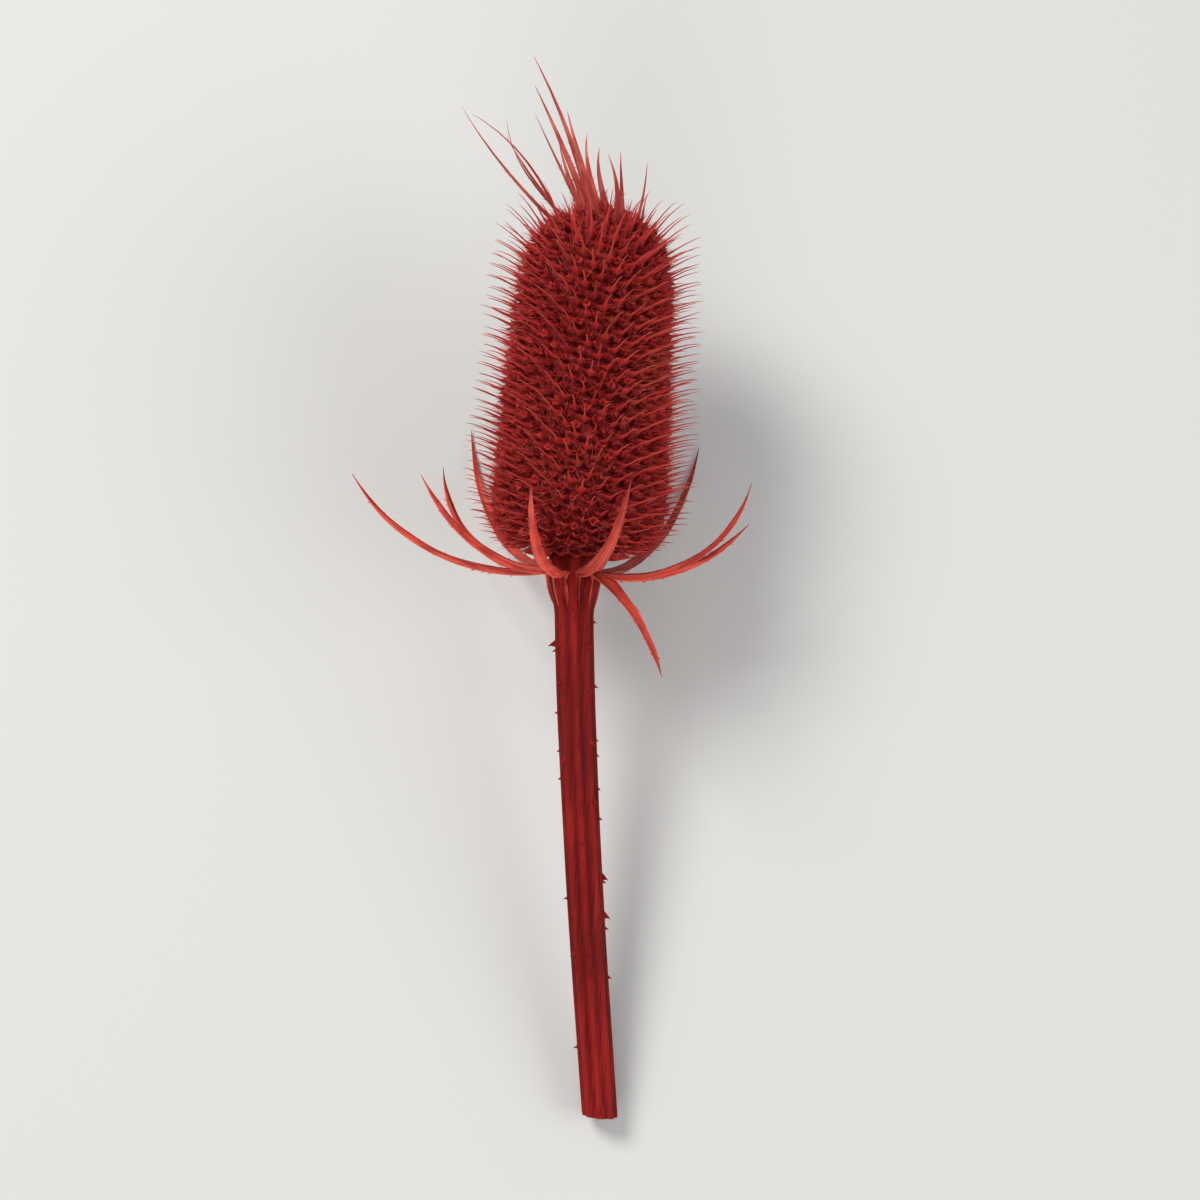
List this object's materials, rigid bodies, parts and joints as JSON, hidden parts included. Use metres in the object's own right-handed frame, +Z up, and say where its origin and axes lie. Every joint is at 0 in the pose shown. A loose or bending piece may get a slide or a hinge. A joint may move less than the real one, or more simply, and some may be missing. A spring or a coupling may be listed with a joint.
{
  "type": "teasel seed head",
  "caption": "Dyed, dried teasel seed head on a short cut stem, lying on its side: a spiral of awned scales over a ring of long curved bracts.",
  "frame": {"origin": "middle of the bounding box in plan, at the height of the surface that the plant lies on", "axes": "+Z up; +Y along the plant in plan, from the stem's cut end towards the crown, whose axis rises about 14 degrees towards the crown; +X across it"},
  "size_m": [0.0542, 0.1372, 0.0462],
  "materials": {
    "stem": "dry dyed stalk, dark red, ridged and fibrous",
    "bract": "dry dyed bract, bright orange-red, faintly veined",
    "head": "dry dyed awned scales, dark crimson, matte"
  },
  "bodies": {
    "root": {"stem": "stem", "bract_1": "bract", "bract_2": "bract", "bract_3": "bract", "bract_4": "bract", "bract_5": "bract", "bract_6": "bract", "bract_7": "bract", "bract_8": "bract", "bract_9": "bract", "bract_10": "bract", "bract_11": "bract", "head": "head"}
  },
  "joints": []
}
